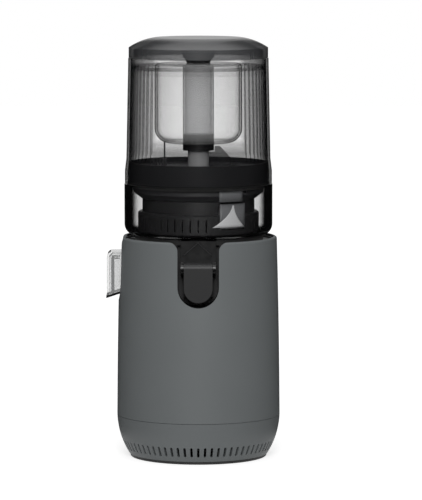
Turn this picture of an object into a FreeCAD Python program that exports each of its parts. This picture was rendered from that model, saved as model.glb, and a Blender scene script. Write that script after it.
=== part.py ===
import FreeCAD, Part
import math
import os
import Sketcher
from FreeCAD import Placement, Rotation, Vector

# Cold press juicer: a round housing with its motor and gearbox, a clear juice drum with its
# strainer and auger, a tinted hopper with a feed blade, and a lid with a cup under it.
# Millimetres, +Z up. The origin is the centre of the plane that the feet stand on.
# The front is towards -Y and the pulp spout is on the -X side.

SIZES = {
    # housing
    "body_radius": 83.0,
    "rim_radius": 79.9,
    "foot_radius": 70.7,
    "body_top": 225.0,
    "parting_level": 43.0,
    "skirt_bottom": 3.0,
    "body_side_bow": 7500.0,
    "skirt_bow": 80.0,
    "shell_wall": 3.0,
    "rim_round": 2.2,
    "seam_gap": 0.4,
    "skirt_lip_rise": 4.0,
    # vents round the foot
    "vent_low": 8.0,
    "vent_high": 18.0,
    "vent_width": 2.5,
    "vent_count": 70,
    # front notch and side notch
    "notch_half": 20.8,
    "notch_bottom": 159.5,
    "notch_shoulder": 9.0,
    "side_notch_half": 18.5,
    "side_notch_bottom": 159.5,
    "side_notch_shoulder": 9.0,
    "well_wall": 2.0,
    "well_back": 56.0,
    "side_well_back": 46.5,
    # deck
    "deck_level": 221.0,
    "deck_thickness": 3.0,
    "collar_radius": 16.0,
    "collar_rise": 6.0,
    # feet and bottom
    "cover_thickness": 2.5,
    "cover_post_rise": 9.0,
    "cover_post_radius": 3.5,
    "pad_thickness": 1.6,
    "pad_inset": 1.2,
    "pad_round": 0.6,
    # gear train
    "first_module": 1.0,
    "second_module": 1.25,
    "pinion_teeth": 12,
    "wheel_teeth": 48,
    "second_pinion_teeth": 12,
    "output_teeth": 60,
    "first_width": 6.0,
    "second_width": 10.0,
    "gear_backlash": 0.3,
    "gear_pin_radius": 3.0,
    "output_hub_radius": 14.0,
    "post_boss_radius": 3.5,
    "screw_radius": 1.5,
    "boss_height": 7.5,
    "box_radius": 42.0,
    "box_reach": 32.0,
    "box_wall": 2.5,
    "box_bottom": 179.0,
    "box_floor": 3.0,
    "box_inner_height": 29.0,
    "box_lid": 3.5,
    "bearing_outer": 16.0,
    "bearing_height": 8.0,
    "shaft_radius": 7.5,
    "shaft_hex": 13.0,
    "hex_gap": 0.2,
    "hex_height": 24.0,
    # motor
    "motor_radius": 33.0,
    "motor_height": 72.0,
    "motor_wall": 2.0,
    "rotor_radius": 22.0,
    "rotor_height": 40.0,
    "motor_shaft_radius": 4.0,
    "motor_bearing_radius": 9.0,
    "motor_bearing_height": 6.0,
    "fan_radius": 30.0,
    "fan_height": 9.0,
    "fan_blades": 9,
    # control board, switch and cord inlet
    "board_length": 66.0,
    "board_width": 48.0,
    "board_thickness": 1.6,
    "switch_level": 78.0,
    "switch_half_width": 10.0,
    "switch_half_height": 13.8,
    "switch_frame": 3.0,
    "rocker_pivot_radius": 3.2,
    "gland_level": 26.0,
    "gland_radius": 6.5,
    "gland_bore": 3.6,
    # juice drum
    "drum_radius": 75.3,
    "drum_top": 279.0,
    "drum_bottom": 226.0,
    "drum_wall": 2.6,
    "drum_corner": 12.0,
    "hub_inner": 17.2,
    "hub_outer": 20.5,
    "hub_top": 240.0,
    "gasket_radius": 66.0,
    "gasket_width": 9.0,
    # juice spout and its cap
    "spout_half": 15.0,
    "bracket_half": 17.6,
    "ear_radius": 5.5,
    "channel_half": 9.0,
    "spout_wall": 2.0,
    "spout_bottom": 170.0,
    "spout_back": 59.0,
    "spout_front": 70.0,
    "mouth_radius": 8.0,
    "mouth_level": 182.0,
    "hinge_level": 199.0,
    "hinge_reach": 76.0,
    "hinge_pin_radius": 1.5,
    "hinge_roll_radius": 5.3,
    "tongue_half": 14.3,
    "tongue_tip": 165.0,
    "tongue_thickness": 3.2,
    # pulp spout
    "pulp_reach": 93.2,
    "pulp_half": 14.0,
    "pulp_top": 210.0,
    "pulp_bottom": 163.0,
    "pulp_inner": 48.0,
    "pulp_throat": 61.0,
    "pulp_drop": 76.5,
    "pulp_hole_inner": 50.5,
    "pulp_hole_outer": 58.5,
    "pulp_hole_half": 10.0,
    "pulp_wall": 2.2,
    "pulp_corner": 6.0,
    # strainer
    "strainer_flange": 61.5,
    "strainer_radius": 57.0,
    "strainer_step": 251.0,
    "strainer_top": 264.0,
    "strainer_wall": 2.2,
    "strainer_slots": 48,
    "slot_width": 1.4,
    "window_low": 236.0,
    "window_turn": 35.0,
    "window_half_angle": 14.0,
    # auger
    "auger_bottom": 233.0,
    "sleeve_radius": 14.0,
    "auger_core_low": 27.0,
    "auger_core_high": 17.0,
    "auger_flight_low": 52.0,
    "auger_flight_high": 42.0,
    "auger_flight_width": 6.0,
    "auger_pitch": 46.0,
    "auger_top": 284.0,
    "auger_post_radius": 8.0,
    "auger_post_top": 300.0,
    "insert_radius": 11.0,
    "insert_top": 256.0,
    # hopper
    "hopper_foot_radius": 74.8,
    "hopper_waist_radius": 73.3,
    "hopper_top_radius": 71.2,
    "hopper_bottom": 279.6,
    "hopper_flare_level": 292.0,
    "hopper_waist_level": 304.0,
    "hopper_top": 406.6,
    "hopper_wall": 2.6,
    "hopper_ring_top": 301.0,
    "hopper_ring_wall": 2.4,
    "hopper_floor": 292.0,
    "hopper_floor_thickness": 2.6,
    "neck_radius": 66.0,
    "neck_low": 268.0,
    "neck_throat": 58.5,
    "feed_inner": 15.0,
    "feed_outer": 50.0,
    "feed_angle": 110.0,
    "feed_turn": 20.0,
    "fin_place": 33.0,
    "fin_thickness": 1.6,
    "fin_top": 326.0,
    # feed blade
    "post_radius": 10.7,
    "post_top": 312.0,
    "post_bore": 5.0,
    "blade_reach": 33.0,
    "blade_top": 317.0,
    "blade_thickness": 2.4,
    # lid and the cup under it
    "lid_radius": 70.7,
    "lid_top": 427.0,
    "lid_plateau": 45.0,
    "lid_corner_level": 417.0,
    "lid_shoulder_bow": 62.0,
    "lid_wall": 2.4,
    "lid_rim_bottom": 407.0,
    "lid_skirt_radius": 68.0,
    "lid_skirt_bottom": 390.0,
    "boss_top_radius": 17.0,
    "boss_foot_radius": 11.5,
    "boss_waist_level": 410.0,
    "cup_radius": 44.5,
    "cup_bottom": 320.0,
    "cup_top": 399.0,
    "cup_wall": 2.0,
    "cup_corner": 15.0,
    "cap_corner": 4.5,
    "tube_radius": 15.8,
    "tube_wall": 2.2,
    "tube_bottom": 329.0,
    # clearances
    "part_gap": 0.3,
    "running_gap": 0.06,
    "loose_gap": 0.6,
}


class Size:
    """A number together with the sheet expression that gives it."""

    def __init__(self, value, text):
        self.value = float(value)
        self.text = text

    def __add__(self, other):
        other = sized(other)
        return Size(self.value + other.value, "(%s + %s)" % (self.text, other.text))

    def __sub__(self, other):
        other = sized(other)
        return Size(self.value - other.value, "(%s - %s)" % (self.text, other.text))

    def __mul__(self, other):
        other = sized(other)
        return Size(self.value * other.value, "(%s * %s)" % (self.text, other.text))

    def __truediv__(self, other):
        other = sized(other)
        return Size(self.value / other.value, "(%s / %s)" % (self.text, other.text))

    def __neg__(self):
        return Size(-self.value, "(-1 * %s)" % self.text)

    def __radd__(self, other):
        return sized(other) + self

    def __rsub__(self, other):
        return sized(other) - self

    def __rmul__(self, other):
        return sized(other) * self


def sized(number):
    return number if isinstance(number, Size) else Size(number, repr(float(number)))


def half(size):
    return sized(size) / 2


class Named:
    """The sheet's sizes by name."""


doc = FreeCAD.newDocument("cold_press_juicer")
sheet = doc.addObject("Spreadsheet::Sheet", "Sizes")
s = Named()
for row, (alias, number) in enumerate(SIZES.items(), start=1):
    sheet.set("A%d" % row, alias)
    sheet.set("B%d" % row, str(number))
    sheet.setAlias("B%d" % row, alias)
    setattr(s, alias, Size(number, "Sizes." + alias))
doc.recompute()

nodes = []


# Drawing and feature helpers

def new_body(label):
    body = doc.addObject("PartDesign::Body", label)
    body.Label = label
    nodes.append(body)
    return body


def origin_item(body, role):
    return next(item for item in body.Origin.OriginFeatures if item.Role == role)


def bind(item, prop, size):
    item.setExpression(prop, sized(size).text)


def new_sketch(body, name, plane, offset):
    sketch = body.newObject("Sketcher::SketchObject", body.Name + "_" + name)
    sketch.AttachmentSupport = (origin_item(body, plane), [""])
    sketch.MapMode = "FlatFace"
    if offset is not None:
        bind(sketch, "AttachmentOffset.Base.z", offset)
    return sketch


def hold(sketch, kind, edge, end, size):
    """Hold one coordinate of a point of a sketch edge at a place that the sheet gives."""
    if size.value == 0:
        axis = -2 if kind == "DistanceX" else -1
        sketch.addConstraint(Sketcher.Constraint("PointOnObject", edge, end, axis))
        return
    index = sketch.addConstraint(Sketcher.Constraint(kind, -1, 1, edge, end, size.value))
    bind(sketch, "Constraints[%d]" % index, size)


def pin_point(sketch, edge, end, x, y):
    hold(sketch, "DistanceX", edge, end, x)
    hold(sketch, "DistanceY", edge, end, y)


def arc_between(start, finish, radius):
    """An arc that bows to the left of start to finish if its radius is negative, else right."""
    chord = finish - start
    side = Vector(chord.y, -chord.x, 0).normalize() * (1 if radius > 0 else -1)
    reach = math.sqrt(max(radius * radius - chord.Length * chord.Length / 4, 0))
    centre = (start + finish) / 2 - side * reach
    first, last = (start, finish) if radius > 0 else (finish, start)
    begin = math.atan2(first.y - centre.y, first.x - centre.x)
    end = math.atan2(last.y - centre.y, last.x - centre.x)
    if end < begin:
        end += 2 * math.pi
    return Part.ArcOfCircle(Part.Circle(centre, Vector(0, 0, 1), abs(radius)), begin, end)


def outline(body, name, plane, corners, offset=None):
    """A closed outline: corners (x, y), or (x, y, radius) where an arc runs to the next."""
    sketch = new_sketch(body, name, plane, offset)
    places = [(sized(corner[0]), sized(corner[1])) for corner in corners]
    points = [Vector(x.value, y.value, 0) for x, y in places]
    ends = []
    for index, corner in enumerate(corners):
        after = (index + 1) % len(corners)
        if len(corner) == 2:
            sketch.addGeometry(Part.LineSegment(points[index], points[after]))
            ends.append((1, 2))
            continue
        sketch.addGeometry(arc_between(points[index], points[after], corner[2].value))
        ends.append((1, 2) if corner[2].value > 0 else (2, 1))
    for index, (x, y) in enumerate(places):
        after = (index + 1) % len(corners)
        join = Sketcher.Constraint("Coincident", index, ends[index][1], after, ends[after][0])
        sketch.addConstraint(join)
        pin_point(sketch, index, ends[index][0], x, y)
    for index, corner in enumerate(corners):
        if len(corner) == 2:
            continue
        after = (index + 1) % len(corners)
        chord = points[after] - points[index]
        if abs(chord.Length / 2 - abs(corner[2].value)) < 1e-6:
            level = abs(chord.y) < abs(chord.x)
            kind, size = ("DistanceY", places[index][1]) if level else ("DistanceX", places[index][0])
            hold(sketch, kind, index, 3, size)
            continue
        size = corner[2] if corner[2].value > 0 else -corner[2]
        number = sketch.addConstraint(Sketcher.Constraint("Radius", index, size.value))
        bind(sketch, "Constraints[%d]" % number, size)
    return sketch


def disc(body, name, plane, x, y, radius, offset=None):
    """A circle on one of the body's planes."""
    sketch = new_sketch(body, name, plane, offset)
    x, y, radius = sized(x), sized(y), sized(radius)
    circle = Part.Circle(Vector(x.value, y.value, 0), Vector(0, 0, 1), radius.value)
    sketch.addGeometry(circle)
    pin_point(sketch, 0, 3, x, y)
    number = sketch.addConstraint(Sketcher.Constraint("Radius", 0, radius.value))
    bind(sketch, "Constraints[%d]" % number, radius)
    return sketch


def box_corners(left, right, low, high):
    return [(left, low), (right, low), (right, high), (left, high)]


def feature(body, kind, sketch, **settings):
    """One PartDesign feature from a sketch, with the volume compared before and after."""
    before = body.Shape.Volume if body.Tip else 0.0
    item = body.newObject("PartDesign::" + kind, sketch.Name + "_" + kind.lower())
    item.Profile = sketch
    for name, setting in settings.items():
        if isinstance(setting, Size):
            bind(item, name, setting)
        else:
            setattr(item, name, setting)
    doc.recompute()
    if abs(body.Shape.Volume - before) < 1e-3:
        raise RuntimeError("%s changes nothing %s %s" % (item.Name, item.State, sketch.State))
    return item


def revolve(body, sketch, kind="Revolution"):
    return feature(body, kind, sketch, ReferenceAxis=(sketch, ["V_Axis"]), Angle=360.0)


def pad(body, sketch, length, back=False, both=False):
    side = "Symmetric" if both else "One side"
    return feature(body, "Pad", sketch, SideType=side, Length=sized(length), Reversed=back)


def pocket(body, sketch, length, back=False, both=False):
    side = "Symmetric" if both else "One side"
    return feature(body, "Pocket", sketch, SideType=side, Length=sized(length), Reversed=back)


def pattern(body, originals, count, turn=360.0):
    """Copies round the body's Z axis. A turn under 360 runs from the first copy to the last."""
    item = body.newObject("PartDesign::PolarPattern", originals[0].Name + "_round")
    item.Originals = originals
    item.Axis = (origin_item(body, "Z_Axis"), [""])
    bind(item, "Angle", turn)
    bind(item, "Occurrences", count)
    body.Tip = item
    doc.recompute()
    return item


def turned(label, corners):
    """A body turned about its Z axis from one closed profile of (radius, level) corners."""
    body = new_body(label)
    revolve(body, outline(body, "profile", "XZ_Plane", corners))
    return body


def place(body, x=0, y=0, z=0):
    for axis, size in (("x", x), ("y", y), ("z", z)):
        bind(body, "Placement.Base." + axis, size)


def solid_node(label, shape):
    """A node whose form comes straight from Part's own functions."""
    item = doc.addObject("Part::Feature", label)
    item.Label = label
    item.Shape = shape
    nodes.append(item)
    return item


# Housing

def shell_inner(level):
    """Inner radius of the shell near its top, where the deck sits."""
    return s.rim_radius - s.shell_wall + (s.body_top - level) / 90


def notch_corners(half_width, bottom, shoulder, top, rise):
    """A U-shaped notch with rounded shoulders, open at the top."""
    middle = bottom + half_width
    return [
        (-half_width - shoulder, top, -shoulder),
        (-half_width, top - shoulder),
        (-half_width, middle, half_width),
        (half_width, middle),
        (half_width, top - shoulder, -shoulder),
        (half_width + shoulder, top),
        (half_width + shoulder, top + rise),
        (-half_width - shoulder, top + rise),
    ]


def make_body_shell():
    bottom = s.parting_level
    body = turned("body_shell", [
        (s.body_radius, bottom, s.body_side_bow),
        (s.rim_radius, s.body_top - s.rim_round, s.rim_round),
        (s.rim_radius - s.rim_round, s.body_top),
        (s.rim_radius - s.shell_wall, s.body_top),
        (s.body_radius - s.shell_wall, bottom),
    ])
    rise = s.shell_wall
    front = notch_corners(s.notch_half, s.notch_bottom, s.notch_shoulder, s.body_top, rise)
    pocket(body, outline(body, "notch", "XZ_Plane", front), s.body_radius + rise, back=True)
    side = notch_corners(s.side_notch_half, s.side_notch_bottom, s.side_notch_shoulder,
                         s.body_top, rise)
    pocket(body, outline(body, "side_notch", "YZ_Plane", side), s.body_radius + rise)
    wide = s.switch_half_width + s.switch_frame - 1
    tall = s.switch_half_height + s.switch_frame - 1
    hole = box_corners(-wide, wide, s.switch_level - tall, s.switch_level + tall)
    pocket(body, outline(body, "switch_hole", "XZ_Plane", hole), s.body_radius + rise)
    return body


def make_base_skirt():
    top = s.parting_level - s.seam_gap
    inside = s.body_radius - s.shell_wall
    lip = inside - s.running_gap
    body = turned("base_skirt", [
        (s.foot_radius, s.skirt_bottom, s.skirt_bow),
        (s.body_radius, top),
        (lip, top),
        (lip, top + s.skirt_lip_rise),
        (lip - s.shell_wall / 2, top + s.skirt_lip_rise),
        (lip - s.shell_wall / 2, top - s.shell_wall, -s.skirt_bow),
        (s.foot_radius - s.shell_wall - 2, s.skirt_bottom),
    ])
    hole = disc(body, "gland_hole", "XZ_Plane", 0, s.gland_level, s.gland_radius)
    pocket(body, hole, s.body_radius)
    count = int(s.vent_count.value)
    middle = (s.vent_low + s.vent_high) / 2
    height = s.vent_high - s.vent_low
    reach = s.body_radius.value - s.foot_radius.value + 2 * s.shell_wall.value
    slot = rounded_slot(s.vent_width.value, height.value, 2 * reach)
    slot.translate(Vector(0, -s.foot_radius.value, middle.value))
    turns = [turn for turn in range(count) if not vent_blocked(360.0 * turn / count)]
    cut_out(body, [turned_copy(slot, 360.0 * turn / count) for turn in turns])


def vent_blocked(turn):
    """The cord inlet takes the place of the vents behind it."""
    return abs(turn - 180) < 12


def rounded_slot(width, height, depth):
    """A cutter for an upright slot with rounded ends, along the Y axis."""
    straight = Part.makeBox(width, depth, height - width,
                            Vector(-width / 2, -depth / 2, -(height - width) / 2))
    ends = []
    for side in (-1, 1):
        centre = Vector(0, -depth / 2, side * (height - width) / 2)
        ends.append(Part.makeCylinder(width / 2, depth, centre, Vector(0, 1, 0)))
    return straight.fuse(ends).removeSplitter()


def turned_copy(shape, turn):
    copy = shape.copy()
    copy.rotate(Vector(0, 0, 0), Vector(0, 0, 1), turn)
    return copy


def cut_out(body, cutters):
    """Cut many separate holes from a body at once. The result takes over its node."""
    tool = doc.addObject("Part::Feature", body.Name + "_cutters")
    tool.Shape = Part.makeCompound(cutters)
    item = doc.addObject("Part::Cut", body.Name + "_cut")
    item.Base = body
    item.Tool = tool
    name = body.Label
    body.Label = name + "_blank"
    item.Label = name
    nodes[nodes.index(body)] = item
    doc.recompute()
    if item.Shape.Volume > body.Shape.Volume - 1e-3:
        raise RuntimeError(name + " was not cut")
    return item


def make_bottom_cover():
    low = s.pad_thickness
    high = low + s.cover_thickness
    edge = s.foot_radius - s.pad_inset
    seat = s.foot_radius - s.shell_wall - 2
    body = turned("bottom_cover", [
        (0, low), (edge, low), (edge, s.skirt_bottom), (seat, s.skirt_bottom),
        (seat - 0.4, high), (0, high),
    ])
    for index, (x, y) in enumerate(board_posts()):
        post = disc(body, "post%d" % index, "XY_Plane", x, y, s.cover_post_radius, high)
        pad(body, post, s.cover_post_rise)
    return body


def board_posts():
    wide = half(s.board_length) - 5
    deep = half(s.board_width) - 5
    return [(wide, deep), (-wide, deep), (-wide, -deep), (wide, -deep)]


def make_base_pad():
    edge = s.foot_radius - s.pad_inset
    turned("base_pad", [
        (0, 0), (edge - s.pad_round, 0), (edge, s.pad_round), (edge, s.pad_thickness),
        (0, s.pad_thickness),
    ])


def make_top_deck():
    low = s.deck_level - s.deck_thickness
    edge = shell_inner(s.deck_level) - s.part_gap
    bore = s.shaft_radius + s.loose_gap
    seal = s.shaft_radius + 4.5
    top = s.deck_level + s.collar_rise
    hub = s.bearing_outer + s.box_wall
    foot = box_inner_top() + s.box_lid + s.part_gap
    body = turned("top_deck", [
        (bore, foot), (hub, foot), (hub, low), (edge, low), (edge, s.deck_level + 1.5),
        (edge - 2, s.deck_level + 1.5), (edge - 3.5, s.deck_level),
        (s.collar_radius, s.deck_level), (s.collar_radius, top), (seal, top), (seal, top - 5),
        (bore, top - 5),
    ])
    reach = s.body_radius
    for name, plane, half_width, bottom, depth, back in (
            ("front", "XZ_Plane", s.notch_half, s.notch_bottom, s.well_back, False),
            ("side", "YZ_Plane", s.side_notch_half, s.side_notch_bottom, s.side_well_back,
             True)):
        side = -1 if back else 1
        outer = half_width + s.part_gap + s.well_wall
        inner = half_width + s.part_gap
        centre = bottom + half_width
        wall = [(-outer, low), (-outer, centre, outer), (outer, centre), (outer, low)]
        hollow = [(-inner, top), (-inner, centre, inner), (inner, centre), (inner, top)]
        block = outline(body, name + "_well", plane, wall, side * (depth - s.well_wall))
        pad(body, block, reach - depth, back=back)
        space = outline(body, name + "_hollow", plane, hollow, side * depth)
        pocket(body, space, reach, back=not back)
    limit = s.rim_radius - s.shell_wall
    trim = box_corners(limit - s.part_gap, s.body_radius * 2, s.notch_bottom - 20, low)
    revolve(body, outline(body, "trim", "XZ_Plane", trim), "Groove")
    return body


# Gear train and motor

def gear_shape(module, teeth, width, bore, turn, backlash):
    """A spur gear with involute flanks, one tooth centred on the given turn in degrees."""
    pitch = module * teeth / 2
    base = pitch * math.cos(math.radians(20))
    tip = pitch + module
    foot = pitch - 1.25 * module

    def spread(radius):
        lean = math.acos(min(base / radius, 1.0))
        return math.tan(lean) - lean

    thick = math.pi / (2 * teeth) - backlash / (2 * pitch) + spread(pitch)
    flank = []
    steps = 3
    low = max(base, foot)
    for step in range(steps + 1):
        radius = low + (tip - low) * step / steps
        flank.append((radius, thick - spread(radius)))
    flank.insert(0, (foot, thick - spread(low)))
    points = []
    for tooth in range(teeth):
        middle = math.radians(turn) + 2 * math.pi * tooth / teeth
        for radius, away in flank:
            points.append((radius, middle - away))
        for radius, away in reversed(flank):
            points.append((radius, middle + away))
    corners = [Vector(r * math.cos(a), r * math.sin(a), 0) for r, a in points]
    wheel = Part.Face(Part.makePolygon(corners + corners[:1])).extrude(Vector(0, 0, width))
    hole = Part.makeCylinder(bore, width)
    return wheel.cut(hole)


def first_distance():
    return s.first_module * (s.pinion_teeth + s.wheel_teeth) / 2


def second_distance():
    return s.second_module * (s.second_pinion_teeth + s.output_teeth) / 2


def motor_place():
    """The motor's axis, in mesh with the wheel and clear of the output bearing."""
    return (first_distance() * half(math.sqrt(3)), second_distance() - first_distance() / 2)


def box_floor_top():
    return s.box_bottom + s.box_floor


def box_inner_top():
    return box_floor_top() + s.box_inner_height


def first_level():
    return box_floor_top() + 2.5


def second_level():
    return first_level() + s.first_width + 2


def make_gears():
    pin_bore = s.gear_pin_radius.value + s.running_gap.value
    back = s.gear_backlash.value
    wheel = gear_shape(s.first_module.value, int(s.wheel_teeth.value), s.first_width.value,
                       pin_bore, -30 + 180 / s.wheel_teeth.value, back)
    hub_height = (second_level() - first_level()).value
    hub = Part.makeCylinder(pin_bore + 4, hub_height).cut(Part.makeCylinder(pin_bore, hub_height))
    pinion = gear_shape(s.second_module.value, int(s.second_pinion_teeth.value),
                        s.second_width.value + 1, pin_bore, 270, back)
    pinion.translate(Vector(0, 0, hub_height))
    compound = solid_node("compound_gear", wheel.fuse([hub, pinion]).removeSplitter())
    compound.Placement = Placement(Vector(0, second_distance().value, first_level().value),
                                   Rotation())

    motor_pinion = gear_shape(s.first_module.value, int(s.pinion_teeth.value),
                              s.first_width.value, s.motor_shaft_radius.value, 150, back)
    item = solid_node("motor_pinion", motor_pinion)
    x, y = motor_place()
    item.Placement = Placement(Vector(x.value, y.value, first_level().value), Rotation())

    width = s.second_width.value
    output = gear_shape(s.second_module.value, int(s.output_teeth.value), width,
                        s.shaft_radius.value, 90 + 180 / s.output_teeth.value, back)
    rim = s.second_module.value * s.output_teeth.value / 2 - 3 * s.second_module.value
    groove = Part.makeCylinder(rim, width / 4)
    groove = groove.cut(Part.makeCylinder(s.output_hub_radius.value, width / 4))
    output = output.cut(groove)
    groove.translate(Vector(0, 0, width * 3 / 4))
    output = output.cut(groove)
    item = solid_node("output_gear", output)
    item.Placement = Placement(Vector(0, 0, second_level().value), Rotation())


def make_drive_shaft():
    bottom = s.box_bottom - s.bearing_height + s.part_gap
    hex_low = s.deck_level + s.collar_rise + 1
    body = turned("drive_shaft", [
        (0, bottom), (s.shaft_radius - 0.5, bottom), (s.shaft_radius, bottom + 0.5),
        (s.shaft_radius, hex_low), (0, hex_low),
    ])
    pad(body, outline(body, "hex", "XY_Plane", hex_corners(s.shaft_hex), hex_low), s.hex_height)
    return body


def hex_corners(across):
    """The corners of a hexagon of one width across its flats."""
    corner = half(across) * (2 / math.sqrt(3))
    points = []
    for turn in range(6):
        angle = math.radians(60 * turn)
        points.append((corner * round(math.cos(angle), 9), corner * round(math.sin(angle), 9)))
    return points


def motor_top():
    return s.box_bottom - s.bearing_height - 2


def motor_posts():
    x, y = motor_place()
    reach = s.motor_radius - 6
    places = [polar(reach, turn) for turn in (100, 180, 260)]
    return [(x + across, y + along) for across, along in places]


def box_screws():
    inset = s.box_radius - half(s.box_wall) - 2.6
    reach = s.box_reach
    low = inset * -0.5
    return [(inset, reach / 2), (-inset, reach / 2), (inset * 0.82, low * 1.15),
            (inset * -0.82, low * 1.15), (inset * 0.6, reach + inset * 0.8),
            (inset * -0.6, reach + inset * 0.8)]


def drill(body, name, places, radius, level, depth):
    """Round holes down from one level, all in one sketch."""
    sketch = new_sketch(body, name, "XY_Plane", sized(level))
    for index, (x, y) in enumerate(places):
        x, y, size = sized(x), sized(y), sized(radius)
        centre = Vector(x.value, y.value, 0)
        sketch.addGeometry(Part.Circle(centre, Vector(0, 0, 1), size.value))
        pin_point(sketch, index, 3, x, y)
        number = sketch.addConstraint(Sketcher.Constraint("Radius", index, size.value))
        bind(sketch, "Constraints[%d]" % number, size)
    return pocket(body, sketch, depth)


def polar(radius, turn):
    angle = math.radians(turn)
    return (radius * round(math.cos(angle), 9), radius * round(math.sin(angle), 9))


def slot_corners(radius, reach):
    """A stadium outline from the Y axis point 0 to reach, with rounded ends."""
    return [(radius, 0), (radius, reach, radius), (-radius, reach), (-radius, 0, radius)]


def make_gearbox():
    body = new_body("gearbox_housing")
    outer = slot_corners(s.box_radius, s.box_reach)
    inner = slot_corners(s.box_radius - s.box_wall, s.box_reach)
    pad(body, outline(body, "outside", "XY_Plane", outer, s.box_bottom),
        s.box_floor + s.box_inner_height)
    pocket(body, outline(body, "inside", "XY_Plane", inner, box_floor_top()),
           s.box_inner_height, back=True)
    for index, (x, y) in enumerate(box_screws()):
        boss = disc(body, "boss%d" % index, "XY_Plane", x, y, s.screw_radius + 2,
                    box_inner_top() - s.boss_height)
        pad(body, boss, s.boss_height)
    seat = disc(body, "seat", "XY_Plane", 0, 0, s.bearing_outer + s.box_wall, s.box_bottom)
    pad(body, seat, s.bearing_height + 1, back=True)
    for index, (x, y) in enumerate(motor_posts()):
        post = disc(body, "post%d" % index, "XY_Plane", x, y, s.post_boss_radius, s.box_bottom)
        pad(body, post, s.box_bottom - motor_top(), back=True)
    bore = disc(body, "bore", "XY_Plane", 0, 0, s.bearing_outer, box_floor_top())
    pocket(body, bore, s.box_floor + s.bearing_height)
    x, y = motor_place()
    passage = disc(body, "motor_passage", "XY_Plane", x, y,
                   s.motor_shaft_radius + s.loose_gap, box_floor_top())
    pocket(body, passage, s.box_floor + 1)
    pin = disc(body, "pin_seat", "XY_Plane", 0, second_distance(), s.gear_pin_radius + 3,
               box_floor_top())
    pad(body, pin, first_level() - box_floor_top() - s.part_gap)
    drill(body, "pin_hole", [(0, second_distance())], s.gear_pin_radius, first_level(), 4)
    drill(body, "screw_holes", box_screws(), s.screw_radius, box_inner_top(), s.boss_height)

    cover = new_body("gearbox_cover")
    pad(cover, outline(cover, "outside", "XY_Plane", outer, box_inner_top()), s.box_lid)
    ring_seat = disc(cover, "seat", "XY_Plane", 0, 0, s.bearing_outer + s.box_wall,
                     box_inner_top())
    pad(cover, ring_seat, s.bearing_height - s.box_lid + 1.5, back=True)
    bore = disc(cover, "bore", "XY_Plane", 0, 0, s.bearing_outer,
                box_inner_top() + s.box_lid - s.bearing_height)
    pocket(cover, bore, s.bearing_height, back=True)
    lip = disc(cover, "lip", "XY_Plane", 0, 0, s.bearing_outer - 2,
               box_inner_top() + s.box_lid - s.bearing_height)
    pocket(cover, lip, sized(3))
    drill(cover, "screw_holes", box_screws(), s.screw_radius, box_inner_top() + s.box_lid,
          s.box_lid)
    drill(cover, "pin_hole", [(0, second_distance())], s.gear_pin_radius,
          box_inner_top() + 1.5, 2)


def make_ring_bearing(label, outer, inner, height, level, x=0, y=0):
    """A ball bearing: two races with the shields set back between them."""
    race = (outer - inner) / 4
    shield = 0.5
    body = turned(label, [
        (inner, 0), (inner + race, 0), (inner + race, shield), (outer - race, shield),
        (outer - race, 0), (outer, 0), (outer, height), (outer - race, height),
        (outer - race, height - shield), (inner + race, height - shield),
        (inner + race, height), (inner, height),
    ])
    place(body, x, y, level)


def make_bearings():
    inner = s.shaft_radius + s.running_gap
    outer = s.bearing_outer - s.running_gap
    make_ring_bearing("lower_bearing", outer, inner, s.bearing_height,
                      box_floor_top() - s.box_floor - s.bearing_height)
    make_ring_bearing("upper_bearing", outer, inner, s.bearing_height,
                      box_inner_top() + s.box_lid - s.bearing_height)
    inner = s.motor_shaft_radius + s.running_gap
    low = motor_top() - s.motor_height
    x, y = motor_place()
    make_ring_bearing("motor_lower_bearing", s.motor_bearing_radius, inner,
                      s.motor_bearing_height, low, x, y)
    make_ring_bearing("motor_upper_bearing", s.motor_bearing_radius, inner,
                      s.motor_bearing_height,
                      motor_top() - s.motor_wall - s.motor_bearing_height, x, y)


def make_shaft_seal():
    low = s.deck_level + s.collar_rise - 5
    outer = s.shaft_radius + 4.5 - s.running_gap
    inner = s.shaft_radius + s.running_gap
    turned("shaft_seal", [
        (inner + 1.5, low), (outer, low), (outer, low + 4.6), (inner, low + 4.6),
        (inner, low + 3.4), (inner + 1.5, low + 2.4),
    ])


def make_gear_pin():
    low = box_floor_top() - 1.5
    body = turned("gear_pin", [
        (0, low + s.part_gap), (s.gear_pin_radius, low + s.part_gap),
        (s.gear_pin_radius, box_inner_top() + 1.2), (0, box_inner_top() + 1.2),
    ])
    place(body, 0, second_distance())


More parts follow.
